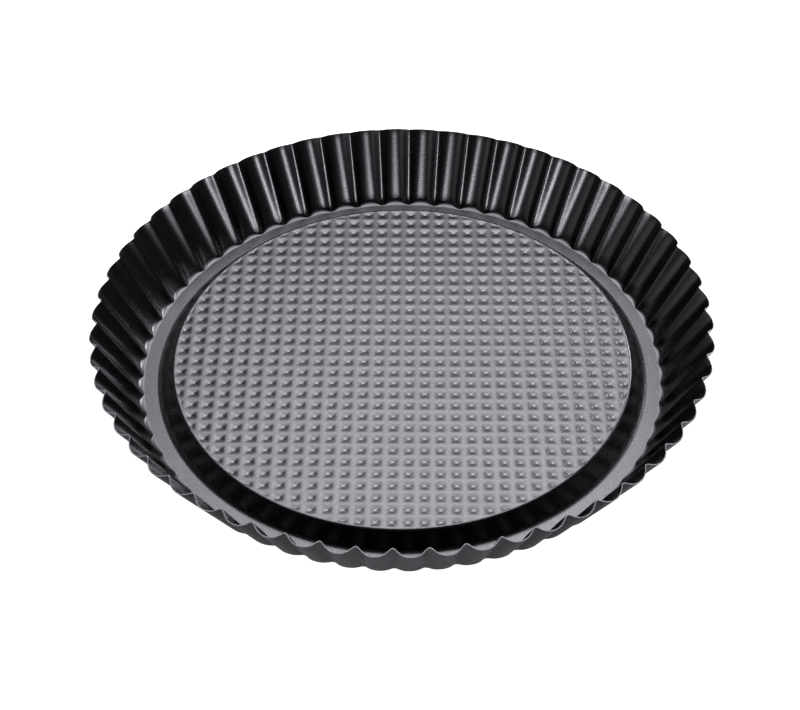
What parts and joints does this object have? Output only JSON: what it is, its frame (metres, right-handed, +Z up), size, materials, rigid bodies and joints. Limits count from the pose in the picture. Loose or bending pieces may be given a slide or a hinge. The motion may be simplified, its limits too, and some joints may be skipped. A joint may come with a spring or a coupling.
{
  "type": "fluted tart pan",
  "caption": "Round fluted tart pan with a flared wall, a channel round its foot and a raised waffle-embossed centre.",
  "frame": {"origin": "middle of the pan's underside, in the plane that it stands on", "axes": "+Z up along the pan's axis, out of its open top; +X and +Y along the bars of the waffle pattern"},
  "size_m": [0.2826, 0.2824, 0.0344],
  "materials": {
    "non_stick_steel": "satin"
  },
  "bodies": {
    "root": {"fluted_wall": "non_stick_steel", "channel_floor": "non_stick_steel", "centre_riser": "non_stick_steel", "waffle_plateau": "non_stick_steel"}
  },
  "joints": []
}
